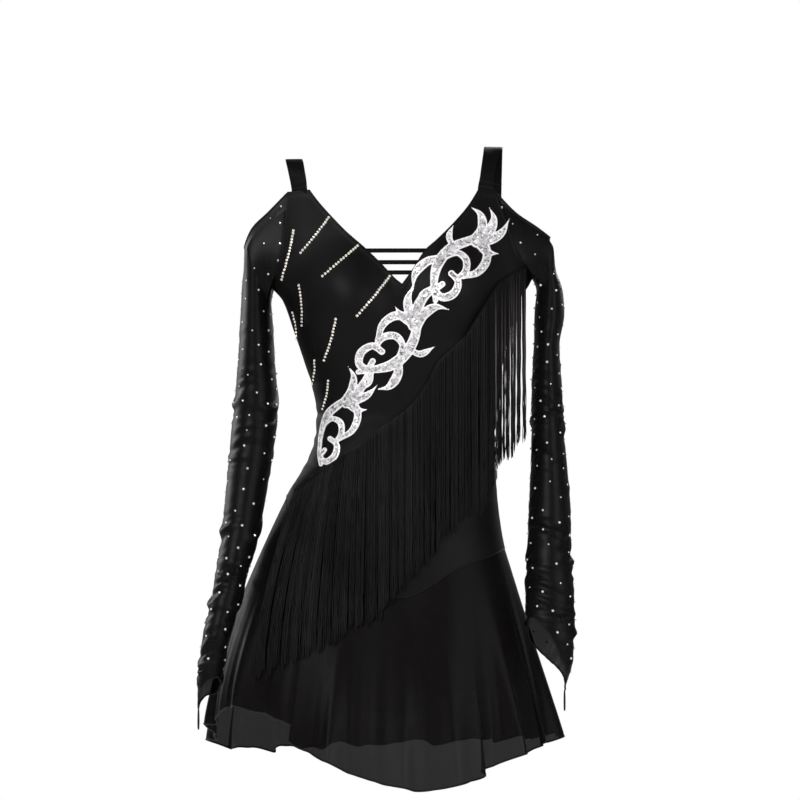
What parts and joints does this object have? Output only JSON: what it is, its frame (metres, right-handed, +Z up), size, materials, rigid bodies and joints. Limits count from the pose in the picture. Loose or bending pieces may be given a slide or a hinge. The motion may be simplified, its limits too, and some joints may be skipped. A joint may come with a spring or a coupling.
{
  "type": "figure skating dress",
  "caption": "Black figure skating dress with bare-shoulder net sleeves, slanted fringe, leafy silver applique and a short flared skirt; it is worn on the shoulders.",
  "frame": {"origin": "midway between the tops of the two shoulder straps, where the wearer's shoulders hold the dress", "axes": "+Z up, +X to the wearer's left, -Y to the wearer's front"},
  "size_m": [0.4589, 0.3392, 0.7798],
  "materials": {
    "stretch_cloth": "matte black stretch knit with a soft sheen",
    "chiffon": "sheer black chiffon with a rolled hem",
    "net": "sheer black stretch net with small silver stones",
    "elastic": "black covered elastic",
    "fringe_yarn": "black silky fringe yarn",
    "silver_applique": "silver sequinned cloth with a bright corded edge"
  },
  "bodies": {
    "root": {"bodice_front": "stretch_cloth", "bodice_back": "stretch_cloth", "brief_front": "stretch_cloth", "brief_back": "stretch_cloth", "brief_gusset": "stretch_cloth", "skirt_front": "chiffon", "skirt_back": "chiffon", "sleeve_right_upper": "net", "sleeve_right_middle": "net", "sleeve_right_lower": "net", "sleeve_left_upper": "net", "sleeve_left_middle": "net", "sleeve_left_lower": "net", "strap_right": "elastic", "strap_left": "elastic", "neck_bar_top": "elastic", "neck_bar_middle": "elastic", "neck_bar_low": "elastic", "finger_loop_right": "elastic", "finger_loop_left": "elastic", "fringe": "fringe_yarn", "applique": "silver_applique"}
  },
  "joints": []
}
